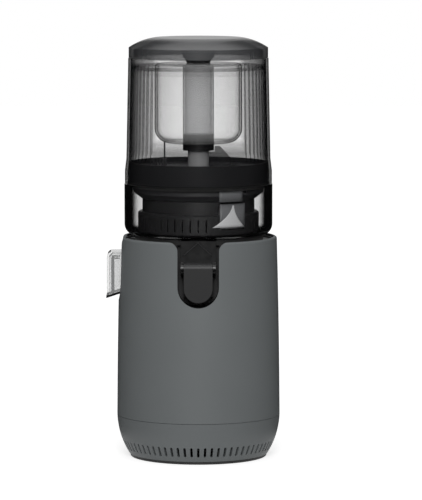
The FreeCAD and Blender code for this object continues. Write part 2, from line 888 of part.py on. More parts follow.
def make_motor():
    top = motor_top()
    low = top - s.motor_height
    bore = s.motor_shaft_radius + s.loose_gap
    inner = s.motor_radius - s.motor_wall
    can = turned("motor_can", [
        (bore, top), (s.motor_radius, top), (s.motor_radius, low), (inner, low),
        (inner, top - s.motor_wall), (bore, top - s.motor_wall),
    ])
    cap = turned("motor_end_cap", [
        (bore, low), (s.motor_radius, low), (s.motor_radius, low - s.motor_wall),
        (s.motor_bearing_radius, low - s.motor_wall - 1.5), (bore, low - s.motor_wall - 1.5),
    ])
    rotor_low = (low + top) / 2 - half(s.rotor_height)
    rotor_high = rotor_low + s.rotor_height
    stator = turned("motor_stator", [
        (s.rotor_radius + 0.8, rotor_low), (inner, rotor_low), (inner, rotor_high),
        (s.rotor_radius + 0.8, rotor_high),
    ])
    shaft = s.motor_shaft_radius
    fan_low = low - s.motor_wall - 4 - s.fan_height
    pinion_top = first_level() + s.first_width
    core = turned("motor_rotor", [
        (0, fan_low), (shaft, fan_low), (shaft, rotor_low), (s.rotor_radius, rotor_low),
        (s.rotor_radius, rotor_high), (shaft, rotor_high), (shaft, pinion_top),
        (0, pinion_top),
    ])
    hub = 9.0
    plate = 1.5
    fan = turned("cooling_fan", [
        (shaft, fan_low), (hub, fan_low), (hub, fan_low + s.fan_height - plate),
        (s.fan_radius, fan_low + s.fan_height - plate), (s.fan_radius, fan_low + s.fan_height),
        (shaft, fan_low + s.fan_height),
    ])
    blade = outline(fan, "blade", "XZ_Plane",
                    box_corners(hub - 0.5, s.fan_radius, fan_low,
                                fan_low + s.fan_height - plate / 2))
    first = pad(fan, blade, sized(1.2), both=True)
    pattern(fan, [first], s.fan_blades)
    x, y = motor_place()
    for piece in (can, cap, stator, core, fan):
        place(piece, x, y)


def make_control_board():
    level = s.pad_thickness + s.cover_thickness + s.cover_post_rise
    body = new_body("control_board")
    plate = box_corners(-half(s.board_length), half(s.board_length),
                        -half(s.board_width), half(s.board_width))
    pad(body, outline(body, "plate", "XY_Plane", plate, level), s.board_thickness)
    top = level + s.board_thickness
    pad(body, disc(body, "capacitor", "XY_Plane", -18, 10, 8, top), sized(22))
    pad(body, outline(body, "relay", "XY_Plane", box_corners(2, 20, 2, 18), top), sized(15))
    pad(body, outline(body, "sink", "XY_Plane", box_corners(-26, 8, -18, -6), top), sized(18))
    pad(body, outline(body, "plug", "XY_Plane", box_corners(16, 30, -20, -10), top), sized(9))


def make_switch():
    face = s.body_radius + 1.0
    flange = s.body_radius - 0.1
    rear = s.body_radius - 10
    wide, tall = s.switch_half_width, s.switch_half_height
    gap = s.part_gap
    frame = s.switch_frame
    body = new_body("switch_bezel")
    inner = box_corners(-wide - frame + 1 + gap, wide + frame - 1 - gap,
                        s.switch_level - tall - frame + 1 + gap,
                        s.switch_level + tall + frame - 1 - gap)
    pad(body, outline(body, "housing", "XZ_Plane", inner, -rear), flange - rear, back=True)
    outer = box_corners(-wide - frame, wide + frame, s.switch_level - tall - frame,
                        s.switch_level + tall + frame)
    pad(body, outline(body, "flange", "XZ_Plane", outer, -flange), face - flange, back=True)
    well = box_corners(-wide - 0.4, wide + 0.4, s.switch_level - tall, s.switch_level + tall)
    pocket(body, outline(body, "well", "XZ_Plane", well, -(rear + 2)), s.body_radius)

    rocker = new_body("rocker_switch")
    level = s.switch_level
    end = tall - 1.4
    profile = [(rear + 4.5, level - end), (face + 1.0, level - end),
               (face + 1.0, level + end), (rear + 4.5, level + end)]
    pad(rocker, outline(rocker, "profile", "YZ_Plane", profile), wide * 2, both=True)
    pivot = disc(rocker, "pivot", "YZ_Plane", rear + 6.5, level, s.rocker_pivot_radius)
    pad(rocker, pivot, wide * 2, both=True)


def make_cord_gland():
    outer = s.body_radius + 1.0
    seat = s.foot_radius + 2.5
    body = new_body("cord_gland")
    neck = disc(body, "neck", "XZ_Plane", 0, s.gland_level, s.gland_radius - s.part_gap,
                -(seat - 2.5))
    pad(body, neck, outer - seat + 2.5, back=True)
    nut = disc(body, "nut", "XZ_Plane", 0, s.gland_level, s.gland_radius + 1.5, -(seat - 2.5))
    pad(body, nut, sized(2.5), back=True)
    bore = disc(body, "bore", "XZ_Plane", 0, s.gland_level, s.gland_bore, -(seat - 3))
    pocket(body, bore, s.body_radius)


def screw_shape(radius, length, head):
    """A pan-head screw hanging down from its head, which stands on level 0."""
    shank = Part.makeCylinder(radius, length, Vector(0, 0, -length))
    dome = Part.makeCylinder(head, radius * 1.2)
    dome = dome.makeFillet(radius * 0.5, [edge for edge in dome.Edges
                                          if edge.BoundBox.ZMin > radius])
    drive = Part.makeBox(head, head * 0.3, radius, Vector(-head / 2, -head * 0.15, radius * 0.6))
    return shank.fuse(dome).cut(drive).removeSplitter()


def make_screws():
    level = (box_inner_top() + s.box_lid).value
    shapes = []
    for x, y in box_screws():
        shape = screw_shape(s.screw_radius.value - 0.02, 10.5, 2.8)
        shape.translate(Vector(sized(x).value, sized(y).value, level))
        shapes.append(shape)
    solid_node("gearbox_screws", Part.makeCompound(shapes))


# Juice drum and what rides on it

def spout_channel(grow=0):
    return box_corners(-s.channel_half - grow, s.channel_half + grow,
                       -(s.spout_front - s.spout_wall) - grow,
                       -(s.spout_back + s.spout_wall) + grow)


def pulp_channel(grow=0):
    return box_corners(-s.pulp_hole_outer - grow, -s.pulp_hole_inner + grow,
                       -s.pulp_hole_half - grow, s.pulp_hole_half + grow)


def make_juice_drum():
    low, high = s.drum_bottom, s.drum_top
    outer, wall, corner = s.drum_radius, s.drum_wall, s.drum_corner
    body = turned("juice_drum", [
        (s.hub_inner, low), (outer - corner, low, corner), (outer, low + corner),
        (outer, high), (outer - wall, high), (outer - wall, low + corner, -(corner - wall)),
        (outer - corner, low + wall), (s.hub_outer, low + wall), (s.hub_outer, s.hub_top),
        (s.hub_inner, s.hub_top),
    ])
    channel = outline(body, "juice_hole", "XY_Plane", spout_channel(), low - 1)
    pocket(body, channel, corner, back=True)
    channel = outline(body, "pulp_hole", "XY_Plane", pulp_channel(), low - 1)
    pocket(body, channel, wall + 2, back=True)


def make_drum_gasket():
    low = s.deck_level + s.part_gap
    inner = s.gasket_radius - s.gasket_width
    body = turned("drum_gasket", [
        (inner, low + 1), (inner + 1, low), (s.gasket_radius, low),
        (s.gasket_radius, s.drum_bottom), (inner, s.drum_bottom),
    ])
    half_width = s.bracket_half + 0.1
    space = box_corners(-half_width, half_width, -s.body_radius, -(s.spout_back - 3))
    pocket(body, outline(body, "spout_space", "XY_Plane", space, low - 1), sized(10), back=True)
    half_width = s.pulp_half + 0.1
    space = box_corners(-s.body_radius, -(s.pulp_inner - 3), -half_width, half_width)
    pocket(body, outline(body, "pulp_space", "XY_Plane", space, low - 1), sized(10), back=True)


def make_hub_packing():
    inner = s.sleeve_radius + s.running_gap
    outer = s.hub_inner
    low = s.hub_top - 9
    turned("hub_packing", [
        (inner, low), (inner + 1, low), (inner + 1.4, low + 2), (outer, low + 2),
        (outer, low + 8), (inner, low + 8),
    ])


def make_juice_spout():
    body = new_body("juice_spout")
    front = -s.spout_front
    base = box_corners(-s.spout_half, s.spout_half, s.spout_bottom, s.drum_bottom)
    pad(body, outline(body, "chute", "XZ_Plane", base, s.spout_back),
        s.spout_front - s.spout_back)
    shoulder = s.hinge_level - s.ear_radius - 2
    base = box_corners(-s.bracket_half, s.bracket_half, shoulder, s.drum_bottom)
    pad(body, outline(body, "bracket", "XZ_Plane", base, s.spout_back),
        s.spout_front - s.spout_back)
    level, ear = s.hinge_level, s.ear_radius
    ears = [(-s.hinge_reach, level + ear, ear), (-s.hinge_reach, level - ear),
            (front + 1, level - ear), (front + 1, level + ear)]
    pad(body, outline(body, "ears", "YZ_Plane", ears), s.bracket_half * 2, both=True)
    between = s.tongue_half + s.part_gap
    gap = box_corners(-s.body_radius * 2, front, level - ear - 3, level + ear + 3)
    pocket(body, outline(body, "ear_gap", "YZ_Plane", gap), between * 2, both=True)
    pin = disc(body, "pin_hole", "YZ_Plane", -s.hinge_reach, level, s.hinge_pin_radius)
    pocket(body, pin, s.body_radius, both=True)
    channel = outline(body, "channel", "XY_Plane", spout_channel(), s.drum_bottom)
    pocket(body, channel, s.drum_bottom - s.spout_bottom - s.spout_wall)
    mouth = disc(body, "mouth", "XZ_Plane", 0, s.mouth_level, s.mouth_radius,
                 s.spout_front - s.spout_wall - 1)
    pocket(body, mouth, s.spout_wall * 2, back=True)


def make_cap_hinge_pin():
    body = new_body("cap_hinge_pin")
    pin = disc(body, "pin", "YZ_Plane", -s.hinge_reach, s.hinge_level,
               s.hinge_pin_radius - 0.02)
    pad(body, pin, s.bracket_half * 2, both=True)


def make_juice_cap():
    body = new_body("juice_cap")
    front = s.hinge_reach + s.hinge_roll_radius
    back = front - s.tongue_thickness
    wide = s.tongue_half
    roll = disc(body, "roll", "YZ_Plane", -s.hinge_reach, s.hinge_level, s.hinge_roll_radius)
    pad(body, roll, wide * 2, both=True)
    middle = s.tongue_tip + wide
    tongue = [(-wide, s.hinge_level), (-wide, middle, wide), (wide, middle),
              (wide, s.hinge_level)]
    pad(body, outline(body, "tongue", "XZ_Plane", tongue, back), s.tongue_thickness)
    boss = disc(body, "boss", "XZ_Plane", 0, s.mouth_level, s.mouth_radius - 2,
                s.spout_front + 1)
    pad(body, boss, back - s.spout_front)
    bore = disc(body, "pin_bore", "YZ_Plane", -s.hinge_reach, s.hinge_level,
                s.hinge_pin_radius + s.running_gap)
    pocket(body, bore, s.body_radius, both=True)

    seal = new_body("juice_cap_seal")
    flange = disc(seal, "flange", "XZ_Plane", 0, s.mouth_level, s.mouth_radius + 2,
                  s.spout_front + s.part_gap)
    pad(seal, flange, 1 - s.part_gap)
    plug = disc(seal, "plug", "XZ_Plane", 0, s.mouth_level, s.mouth_radius - 0.8,
                s.spout_front - 2)
    pad(seal, plug, sized(2.5))


def make_pulp_spout():
    top, reach, corner, wall = s.drum_bottom, s.pulp_reach, s.pulp_corner, s.pulp_wall
    inner, throat, drop = s.pulp_inner, s.pulp_throat, s.pulp_drop
    high = s.pulp_top
    body = new_body("pulp_spout")
    outside = [
        (-inner, top), (-inner, high + 4), (-drop, high - 20), (-drop, s.pulp_bottom + 5.5),
        (-reach, s.pulp_bottom), (-reach, high - corner, -corner), (-reach + corner, high),
        (-throat - 12, high), (-throat, top),
    ]
    pad(body, outline(body, "outside", "XZ_Plane", outside), s.pulp_half * 2, both=True)
    inside = [
        (-inner - wall, top + 1), (-inner - wall, high + 4 + wall / 2),
        (-drop - wall, high - 20 + wall / 2), (-drop - wall, s.pulp_bottom - 5),
        (-reach + wall, s.pulp_bottom - 5), (-reach + wall, high - corner),
        (-reach + corner, high - wall), (-throat - 12, high - wall), (-throat + wall, top - 1),
        (-throat + wall, top + 1),
    ]
    pocket(body, outline(body, "inside", "XZ_Plane", inside), (s.pulp_half - wall) * 2, both=True)


def window_cutter(low, high, reach):
    """A block that cuts the light window through the strainer and the hopper's neck."""
    wide = 2 * s.strainer_radius.value * math.sin(math.radians(s.window_half_angle.value))
    block = Part.makeBox(wide, reach, high - low, Vector(-wide / 2, -reach, low))
    block = turned_copy(block, s.window_turn.value)
    return block


def make_outer_strainer():
    low = s.drum_bottom + s.drum_wall + s.part_gap
    wall, wide, narrow = s.strainer_wall, s.strainer_flange, s.strainer_radius
    step, top = s.strainer_step, s.strainer_top
    body = turned("outer_strainer", [
        (s.hub_outer + s.part_gap, low), (wide - 2, low), (wide, low + 2), (wide, step - 1.5),
        (wide - 1.5, step), (narrow, step), (narrow, top), (narrow - wall, top),
        (narrow - wall, step - wall), (wide - wall, step - wall), (wide - wall, low + wall + 1),
        (wide - wall - 1, low + wall), (s.hub_outer + s.part_gap, low + wall),
    ])
    channel = outline(body, "pulp_hole", "XY_Plane", pulp_channel(), low - 1)
    pocket(body, channel, wall + 2, back=True)
    count = int(s.strainer_slots.value)
    slot_low = low.value + wall.value + 2.5
    slot_high = step.value - wall.value - 2.5
    slot = rounded_slot(s.slot_width.value, slot_high - slot_low, 3 * wall.value)
    slot.translate(Vector(0, -wide.value + wall.value / 2, (slot_low + slot_high) / 2))
    window = s.window_turn.value
    spread = s.window_half_angle.value + 6
    turns = [360.0 * turn / count for turn in range(count)]
    cutters = [turned_copy(slot, turn) for turn in turns if abs(turn - window) > spread]
    cutters.append(window_cutter(s.window_low.value, top.value - 3, wide.value + 5))
    cut_out(body, cutters)


# Auger

def make_auger():
    low, high = s.auger_bottom, s.auger_top
    sleeve_low = s.deck_level + s.collar_rise + 2.5
    recess = s.hub_outer + 1
    body = turned("auger", [
        (s.insert_radius, sleeve_low), (s.sleeve_radius, sleeve_low),
        (s.sleeve_radius, s.hub_top + 1.5), (recess, s.hub_top + 1.5), (recess, low),
        (s.auger_core_low, low), (s.auger_core_high, high), (s.auger_post_radius, high + 3),
        (s.auger_post_radius, s.auger_post_top), (0, s.auger_post_top), (0, s.insert_top),
        (s.insert_radius, s.insert_top),
    ])
    tip = s.auger_flight_width * 0.5
    start = low + 1
    shelf = s.auger_flight_width
    section = [
        (s.auger_core_low - 3, start), (s.auger_flight_low, start + (shelf - tip) / 2),
        (s.auger_flight_low, start + (shelf + tip) / 2), (s.auger_core_low - 3, start + shelf),
    ]
    sketch = outline(body, "flight", "XZ_Plane", section)
    rise = high - 4 - start - shelf
    lean = math.degrees(math.atan((s.auger_flight_low.value - s.auger_flight_high.value)
                                  / rise.value))
    helix = body.newObject("PartDesign::AdditiveHelix", "auger_helix")
    helix.Profile = sketch
    helix.ReferenceAxis = (sketch, ["V_Axis"])
    helix.Mode = "pitch-height-angle"
    bind(helix, "Pitch", s.auger_pitch)
    bind(helix, "Height", rise)
    helix.Angle = -lean
    doc.recompute()
    pattern(body, [helix], 2)

    insert = new_body("auger_insert")
    tube = disc(insert, "tube", "XY_Plane", 0, 0, s.insert_radius, sleeve_low)
    pad(insert, tube, s.insert_top - sleeve_low)
    corners = hex_corners(s.shaft_hex + 2 * s.hex_gap)
    pocket(insert, outline(insert, "socket", "XY_Plane", corners, sleeve_low),
           s.insert_top - sleeve_low, back=True)


# Hopper and feed blade

def make_hopper_wall():
    wall = s.hopper_wall
    turned("hopper_wall", [
        (s.hopper_foot_radius, s.hopper_bottom), (s.hopper_foot_radius, s.hopper_flare_level),
        (s.hopper_waist_radius, s.hopper_waist_level), (s.hopper_top_radius, s.hopper_top),
        (s.hopper_top_radius - wall, s.hopper_top),
        (s.hopper_waist_radius - wall, s.hopper_waist_level),
        (s.hopper_foot_radius - wall, s.hopper_flare_level),
        (s.hopper_foot_radius - wall, s.hopper_bottom),
    ])


def make_hopper_base():
    ring_outer = s.hopper_waist_radius - s.hopper_wall - 0.1
    ring_inner = ring_outer - s.hopper_ring_wall
    low = s.hopper_bottom + 1.4
    top = s.hopper_ring_top
    floor, thick = s.hopper_floor, s.hopper_floor_thickness
    neck, neck_low = s.neck_radius, s.neck_low
    throat = s.neck_throat
    hole = s.auger_post_radius + 1
    body = turned("hopper_base", [
        (ring_outer, low), (ring_outer, top), (ring_inner, top), (ring_inner, floor + 4),
        (hole, floor + 1), (hole, floor + 1 - thick), (neck - 2.4, floor + 4 - thick),
        (neck - 2.4, neck_low + 3.2), (throat - 2.2, s.strainer_top + 1.2),
        (throat - 2.2, s.strainer_top + 0.6), (throat, s.strainer_top + 0.6),
        (neck, neck_low + 2.4), (neck, low),
    ])
    start = s.feed_turn.value - s.feed_angle.value / 2
    end = s.feed_turn.value + s.feed_angle.value / 2
    inner, outer = s.feed_inner, s.feed_outer
    sector = [polar(inner, start), polar(outer, start) + (outer,), polar(outer, end),
              polar(inner, end) + (-inner,)]
    pocket(body, outline(body, "feed_opening", "XY_Plane", sector, floor + 6), sized(12))
    fin = box_corners(-s.fin_place - s.fin_thickness, -s.fin_place, -56, -46)
    pad(body, outline(body, "fin", "XY_Plane", fin, floor + 2.5), s.fin_top - floor - 2.5)
    for index in range(6):
        left = -50 + 3.2 * index
        tooth = box_corners(left, left + 1.4, 30, 38)
        pad(body, outline(body, "rib%d" % index, "XY_Plane", tooth, floor + 1.5), sized(8))
    low_cut = neck_low.value + 4.5
    cut_out(body, [window_cutter(low_cut, s.hopper_bottom.value - 3, neck.value + 3)])


def make_hopper_seal():
    low = s.hopper_bottom + 1.4
    inner = s.neck_radius + s.running_gap
    outer = s.drum_radius - s.drum_wall - s.part_gap
    limit = s.hopper_foot_radius - s.hopper_wall - 0.2
    turned("hopper_seal", [
        (inner, low - 5), (outer - 2.5, low - 5.5), (outer, low - 3.2), (limit, low - 1.8),
        (limit, low), (inner, low),
    ])


def make_feed_rotor():
    low = s.hopper_floor + 1 + s.part_gap + 0.1
    bore = s.auger_post_radius + s.part_gap
    deep = s.auger_post_top + 1
    pin = s.post_bore - s.running_gap
    turned("feed_rotor", [
        (bore, low), (s.post_radius, low), (s.post_radius, s.post_top), (pin, s.post_top),
        (pin, s.post_top + 6), (pin - 1, s.post_top + 7), (0, s.post_top + 7), (0, deep),
        (bore, deep),
    ])
    blade = new_body("feed_blade")
    tube = s.tube_radius + 0.8
    low = low + 3.3
    top = s.blade_top
    shape = [
        (s.post_radius, low), (s.blade_reach, low), (s.blade_reach, low + 8),
        (tube + 5, top), (tube, top), (tube, s.post_top - 1), (s.post_radius, s.post_top - 1),
    ]
    pad(blade, outline(blade, "blade", "XZ_Plane", shape), s.blade_thickness * 2, both=True)


# Lid and the cup under it

def make_lid():
    top, wall = s.lid_top, s.lid_wall
    skirt, low = s.lid_skirt_radius, s.lid_skirt_bottom
    inner = skirt - wall + 0.2
    ceiling = top - wall
    turned("lid_cover", [
        (0, top), (s.lid_plateau, top, -s.lid_shoulder_bow), (s.lid_radius, s.lid_corner_level),
        (s.lid_radius, s.lid_rim_bottom), (skirt, s.lid_rim_bottom), (skirt, low + 9),
        (skirt - 1, low + 9), (skirt - 1, low + 5), (skirt, low + 5), (skirt, low),
        (inner, low), (inner, s.lid_corner_level - wall), (s.lid_plateau - 2, ceiling),
        (0, ceiling),
    ])
    turned("lid_seal", [
        (skirt - 1, low + 5.1), (skirt, low + 5.1), (skirt + 0.3, low + 7), (skirt, low + 8.9),
        (skirt - 1, low + 8.9),
    ])
    turned("lid_boss", [
        (0, cap_top()), (s.boss_foot_radius, cap_top()), (s.boss_top_radius, s.boss_waist_level),
        (s.boss_top_radius, ceiling), (0, ceiling),
    ])


def cap_top():
    return s.cup_top + 2.2


def make_cup():
    radius, wall, corner = s.cup_radius, s.cup_wall, s.cup_corner
    low = s.cup_bottom
    join = s.cup_top - 4
    hole = s.tube_radius + 0.1
    turned("insert_cup", [
        (hole, low), (radius - corner, low, corner), (radius, low + corner), (radius, join),
        (radius - wall, join), (radius - wall, low + corner, -(corner - wall)),
        (radius - corner, low + wall), (hole, low + wall),
    ])
    top = cap_top()
    turned("insert_cap", [
        (0, s.cup_top), (radius - 3, s.cup_top), (radius - 3, join), (radius, join),
        (radius, top - s.cap_corner, s.cap_corner), (radius - s.cap_corner, top), (0, top),
    ])
    inner = s.tube_radius - s.tube_wall
    turned("insert_tube", [
        (inner, s.tube_bottom), (s.tube_radius, s.tube_bottom), (s.tube_radius, s.cup_top),
        (inner, s.cup_top),
    ])
    bush_low = s.post_top + s.part_gap + 0.3
    depth = s.post_top + 8
    turned("shaft_bush", [
        (s.post_bore, bush_low), (s.tube_radius, bush_low), (s.tube_radius, s.tube_bottom),
        (0, s.tube_bottom), (0, depth), (s.post_bore, depth),
    ])


def check_and_write():
    """Nothing is written unless every object is in order."""
    doc.recompute()
    for item in doc.Objects:
        bad = [word for word in item.State if word in ("Invalid", "Error")]
        if bad:
            raise RuntimeError("%s is %s" % (item.Name, bad))
    for node in nodes:
        shape = node.Shape
        if shape.isNull() or not shape.isValid() or not shape.Solids:
            raise RuntimeError(node.Label + " has no valid solid")
    os.makedirs("parts", exist_ok=True)
    for node in nodes:
        node.Shape.exportStep("parts/%s.step" % node.Label)


MAKERS = (
    make_body_shell, make_base_skirt, make_bottom_cover, make_base_pad, make_top_deck,
    make_shaft_seal, make_gearbox, make_gears, make_gear_pin, make_bearings, make_drive_shaft,
    make_screws, make_motor, make_control_board, make_switch, make_cord_gland,
    make_juice_drum, make_drum_gasket, make_hub_packing, make_juice_spout, make_cap_hinge_pin,
    make_juice_cap, make_pulp_spout, make_outer_strainer, make_auger, make_hopper_wall,
    make_hopper_base, make_hopper_seal, make_feed_rotor, make_lid, make_cup,
)

for maker in MAKERS:
    maker()
check_and_write()
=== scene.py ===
"""Cold press juicer: the looks of its parts, a few fine pieces, the light and the camera."""
import math

import bmesh
import bpy
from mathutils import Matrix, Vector


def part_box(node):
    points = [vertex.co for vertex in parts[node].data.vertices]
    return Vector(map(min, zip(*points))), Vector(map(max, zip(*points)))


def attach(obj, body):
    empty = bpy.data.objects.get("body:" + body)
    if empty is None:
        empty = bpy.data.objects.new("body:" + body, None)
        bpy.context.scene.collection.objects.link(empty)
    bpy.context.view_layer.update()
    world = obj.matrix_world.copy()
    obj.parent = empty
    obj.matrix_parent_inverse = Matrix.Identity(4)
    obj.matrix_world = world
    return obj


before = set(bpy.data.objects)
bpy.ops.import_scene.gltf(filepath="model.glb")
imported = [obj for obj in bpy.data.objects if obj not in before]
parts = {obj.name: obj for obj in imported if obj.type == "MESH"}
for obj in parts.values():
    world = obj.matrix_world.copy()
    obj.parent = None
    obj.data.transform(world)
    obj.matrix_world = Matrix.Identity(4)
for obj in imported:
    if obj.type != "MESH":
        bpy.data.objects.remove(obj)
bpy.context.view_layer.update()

MM = 0.001


# Materials

def linear(code):
    """An sRGB hex colour as linear red, green, blue and alpha."""
    levels = [int(code[i:i + 2], 16) / 255 for i in (1, 3, 5)]
    bent = [v / 12.92 if v <= 0.04045 else ((v + 0.055) / 1.055) ** 2.4 for v in levels]
    return (*bent, 1.0)


def add(material, kind, settings=(), sockets=(), links=()):
    """Adds one node, sets its settings and sockets, and links outputs into it."""
    item = material.node_tree.nodes.new(kind)
    for name, value in dict(settings).items():
        setattr(item, name, value)
    for name, value in dict(sockets).items():
        item.inputs[name].default_value = value
    for name, source in dict(links).items():
        material.node_tree.links.new(source, item.inputs[name])
    return item


def new_material(name):
    material = bpy.data.materials.new(name)
    material.use_nodes = True
    material.node_tree.nodes.clear()
    return material


def per_mm(size):
    """A noise scale, in cycles per metre, for a grain of that size in millimetres."""
    return 1000.0 / size


def moulded(name, colour, worn, grain, depth, roughness, sheen=0.0, ior=1.5):
    """Moulded plastic: the mould's spark-eroded grain in the bump, and a slow change of tone."""
    material = new_material(name)
    place = add(material, "ShaderNodeTexCoord")
    fine = add(material, "ShaderNodeTexNoise",
               sockets={"Scale": per_mm(grain), "Detail": 3.0, "Roughness": 0.6},
               links={"Vector": place.outputs["Object"]})
    slow = add(material, "ShaderNodeTexNoise",
               sockets={"Scale": per_mm(60.0), "Detail": 2.0},
               links={"Vector": place.outputs["Object"]})
    tone = add(material, "ShaderNodeMix", settings={"data_type": "RGBA"},
               sockets={"A": linear(colour), "B": linear(worn)},
               links={"Factor": slow.outputs["Fac"]})
    gloss = add(material, "ShaderNodeMapRange",
                sockets={"From Min": 0.3, "From Max": 0.7, "To Min": roughness - 0.05,
                         "To Max": roughness + 0.06},
                links={"Value": fine.outputs["Fac"]})
    bump = add(material, "ShaderNodeBump",
               sockets={"Strength": 0.35, "Distance": depth * MM},
               links={"Height": fine.outputs["Fac"]})
    shader = add(material, "ShaderNodeBsdfPrincipled",
                 sockets={"IOR": ior, "Sheen Weight": sheen},
                 links={"Base Color": tone.outputs["Result"],
                        "Roughness": gloss.outputs["Result"],
                        "Normal": bump.outputs["Normal"]})
    add(material, "ShaderNodeOutputMaterial", links={"Surface": shader.outputs["BSDF"]})
    return material


def ramp(material, source, stops):
    """A colour ramp over a value from 0 to 1. Stops are (place, grey level or hex colour)."""
    item = add(material, "ShaderNodeValToRGB", links={"Fac": source})
    marks = item.color_ramp.elements
    while len(marks) < len(stops):
        marks.new(0.5)
    for mark, (place, level) in zip(marks, stops):
        mark.position = place
        mark.color = linear(level) if isinstance(level, str) else (level, level, level, 1.0)
    return item.outputs["Color"]


def by_level(material, place, foot, head, at_foot, at_head):
    """A value that goes from at_foot to at_head between two levels in millimetres."""
    height = add(material, "ShaderNodeSeparateXYZ", links={"Vector": place.outputs["Object"]})
    return add(material, "ShaderNodeMapRange",
               sockets={"From Min": foot * MM, "From Max": head * MM,
                        "To Min": at_foot, "To Max": at_head},
               links={"Value": height.outputs["Z"]}).outputs["Result"]


def clear_moulded(name, tones, covers, roughness=0.04, thin_below=None, deep_below=None,
                  ior=1.58):
    """Clear or tinted plastic. Seen flat on it lets light through. Seen edge on it goes dense and
    dark. This is partly the longer way through a tinted wall and partly painted: a dark rim that
    stands in for the dark surroundings a thick refracting wall shows at its edges, since these
    walls are drawn without refraction.
    thin_below is (level in millimetres, share): under that level the wall is thinner and covers by
    that share only. deep_below is (level, cover): under that level the tint is at least that deep,
    and it fades out over the 9 mm above."""
    material = new_material(name)
    place = add(material, "ShaderNodeTexCoord")
    facing = add(material, "ShaderNodeLayerWeight", sockets={"Blend": 0.5})
    # Both ramps run over the facing. The dark, dense rim is partly the tinted wall's longer path
    # and partly a painted refraction edge.
    tone = ramp(material, facing.outputs["Facing"], tones)
    cover = ramp(material, facing.outputs["Facing"], covers)
    if thin_below:
        level, share = thin_below
        thin = by_level(material, place, level - 1, level, share, 1.0)
        cover = add(material, "ShaderNodeMath", settings={"operation": "MULTIPLY"},
                    links={0: cover, 1: thin}).outputs[0]
    if deep_below:
        level, least = deep_below
        deep = by_level(material, place, level, level + 9, least, 0.0)
        cover = add(material, "ShaderNodeMath", settings={"operation": "MAXIMUM"},
                    links={0: cover, 1: deep}).outputs[0]
    flow = add(material, "ShaderNodeTexNoise",
               sockets={"Scale": per_mm(25.0), "Detail": 1.0},
               links={"Vector": place.outputs["Object"]})
    bump = add(material, "ShaderNodeBump", sockets={"Strength": 0.05, "Distance": 0.2 * MM},
               links={"Height": flow.outputs["Fac"]})
    shader = add(material, "ShaderNodeBsdfPrincipled",
                 sockets={"IOR": ior, "Roughness": roughness},
                 links={"Base Color": tone, "Alpha": cover, "Normal": bump.outputs["Normal"]})
    add(material, "ShaderNodeOutputMaterial", links={"Surface": shader.outputs["BSDF"]})
    return material


def turned_metal(name, colour, dark, spacing, roughness):
    """Metal off the lathe: fine tool rings at the feed's spacing, stretched along the cut."""
    material = new_material(name)
    place = add(material, "ShaderNodeTexCoord")
    stretch = add(material, "ShaderNodeMapping", sockets={"Scale": (1.0, 1.0, 12.0)},
                  links={"Vector": place.outputs["Object"]})
    lines = add(material, "ShaderNodeTexNoise",
                sockets={"Scale": per_mm(spacing * 12.0), "Detail": 4.0},
                links={"Vector": stretch.outputs["Vector"]})
    tone = add(material, "ShaderNodeMix", settings={"data_type": "RGBA"},
               sockets={"A": linear(dark), "B": linear(colour)},
               links={"Factor": lines.outputs["Fac"]})
    gloss = add(material, "ShaderNodeMapRange",
                sockets={"To Min": roughness - 0.1, "To Max": roughness + 0.1},
                links={"Value": lines.outputs["Fac"]})
    bump = add(material, "ShaderNodeBump", sockets={"Strength": 0.2, "Distance": 0.02 * MM},
               links={"Height": lines.outputs["Fac"]})
    shader = add(material, "ShaderNodeBsdfPrincipled", sockets={"Metallic": 1.0},
                 links={"Base Color": tone.outputs["Result"],
                        "Roughness": gloss.outputs["Result"],
                        "Normal": bump.outputs["Normal"]})
    add(material, "ShaderNodeOutputMaterial", links={"Surface": shader.outputs["BSDF"]})
    return material


# ABS with a fine eroded grain, 0.5 mm drawn as 0.9 mm so that it shows: a soft, even grey.
grey_abs = moulded("grey_abs_eroded", "#6f7374", "#6a6e6f", 0.9, 0.05, 0.52, ior=1.45)
# The same mould finish in black ABS, which eats the light in the wells and under the foot.
black_abs = moulded("black_abs_eroded", "#1c1c1d", "#171718", 0.9, 0.05, 0.5)
# Black polycarbonate from a polished mould: dark, with sharp soft-box reflections.
black_pc = moulded("black_polycarbonate_polished", "#19191a", "#141415", 6.0, 0.01, 0.24)
# The same resin on the juice spout, written darker than it is because the well shades it.
spout_pc = moulded("black_polycarbonate_shaded", "#101011", "#0d0d0e", 6.0, 0.01, 0.36)
# Satin black resin of the strainer and the hopper's foot: the front light lifts it a little.
strainer_resin = moulded("black_polyetherimide_satin", "#2b2b2c", "#262627", 2.5, 0.02, 0.42)
foot_resin = moulded("dark_grey_copolyester_satin", "#38383a", "#333335", 2.5, 0.02, 0.42)
# Dark grey ABS of the spout cap's tongue, a little lighter than the black round it.
cap_abs = moulded("dark_grey_abs_satin", "#262627", "#222223", 0.9, 0.03, 0.5)
# Silicone rubber: black, with a dusty bloom that lifts its edges.
silicone = moulded("black_silicone_moulded", "#1b1b1b", "#232323", 1.2, 0.06, 0.7, sheen=0.2)
# Satin polyetherimide of the auger: a warm mid grey with a slow mottle from the flow.
auger_resin = moulded("grey_polyetherimide_satin", "#a2a2a3", "#8f8f90", 2.5, 0.04, 0.38)
# Light grey ABS post that carries the feed blade.
post_resin = moulded("light_grey_abs_satin", "#c9c9ca", "#bcbcbd", 2.5, 0.04, 0.4)
# Glass-filled nylon: near black, with short fibres that show as a rough speckle.
filled_nylon = moulded("black_glass_filled_nylon", "#39393b", "#2c2c2e", 1.4, 0.12, 0.6)
# Green solder mask on glass-epoxy board.
board_mask = moulded("green_solder_mask", "#1f5c3a", "#1a4f33", 1.8, 0.05, 0.32)
# Ground stainless steel: cool and bright, lathe lines 0.3 mm apart. The motor, the gears
# and the bearings take it too.
ground_steel = turned_metal("stainless_steel_ground", "#c9cbcc", "#9fa1a3", 0.3, 0.32)
# Blackened steel of the cap's hinge pin, which hardly shows in the cap's roll.
black_steel = turned_metal("steel_pin_blackened", "#2a2a2b", "#1c1c1d", 0.3, 0.4)
